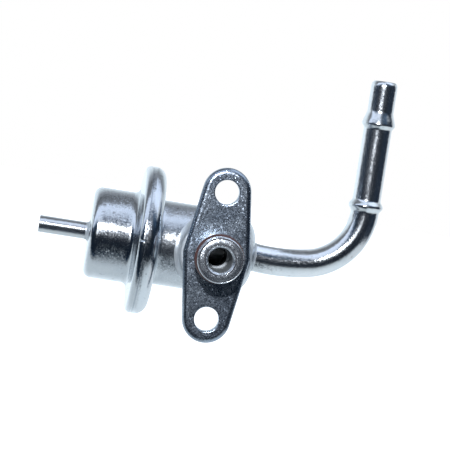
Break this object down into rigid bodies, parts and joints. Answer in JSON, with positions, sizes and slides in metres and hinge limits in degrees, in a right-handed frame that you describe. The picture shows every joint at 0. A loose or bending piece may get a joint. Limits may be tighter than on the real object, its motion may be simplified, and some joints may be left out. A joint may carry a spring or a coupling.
{
  "type": "fuel pressure regulator",
  "caption": "Round diaphragm regulator with crimped rim, vacuum nipple, lozenge port flange with sealed spigot, and a bent barbed return tube.",
  "frame": {"origin": "On the inlet spigot's axis, in the front face of the mounting flange, where the flange meets the fuel rail.", "axes": "-Y is the spigot's direction, out of the flange towards the fuel rail. X is the regulator's own axis, 16 mm behind the flange's front face, from the vacuum nipple at -X to the return tube at +X. +Z is the direction of the return tube's upright run, which leans 0.75 degrees from it."},
  "size_m": [0.0955, 0.0489, 0.0795],
  "materials": {
    "plated_steel": "bright zinc plate over steel, fine grain",
    "plated_plate": "zinc plate over stamped steel, mottled",
    "plated_tube": "bright zinc plate over drawn tube",
    "plated_braze": "plated braze fillet",
    "spring_steel": "oiled spring wire",
    "turned_steel": "turned steel",
    "polished_steel": "polished ball",
    "brown_rubber": "reddish-brown fuel-proof rubber",
    "coated_fabric": "rubber-coated fabric"
  },
  "bodies": {
    "regulator_body": {"spring_cover": "plated_steel", "vacuum_nipple": "plated_tube", "nipple_braze_ring": "plated_braze", "lower_housing": "plated_steel", "outlet_braze_ring": "plated_braze", "inlet_fitting": "plated_steel", "inlet_braze_ring": "plated_braze", "mounting_flange": "plated_plate", "o_ring": "brown_rubber", "outlet_tube": "plated_tube", "valve_seat": "turned_steel", "diaphragm": "coated_fabric", "main_spring": "spring_steel", "upper_spring_seat": "turned_steel"},
    "valve_assembly": {"spring_plate": "turned_steel", "rivet_washer": "turned_steel", "clamp_washer": "turned_steel", "valve_holder": "turned_steel", "valve_ball": "polished_steel", "ball_retainer": "turned_steel", "ball_spring": "spring_steel"}
  },
  "joints": [
    {"name": "valve_slide", "type": "slide", "parent": "regulator_body", "child": "valve_assembly", "axis": [-1, 0, 0], "range_m": [0, 0.0008], "stiffness_N_per_m": 8700, "deforming": ["main_spring", "diaphragm"]}
  ]
}
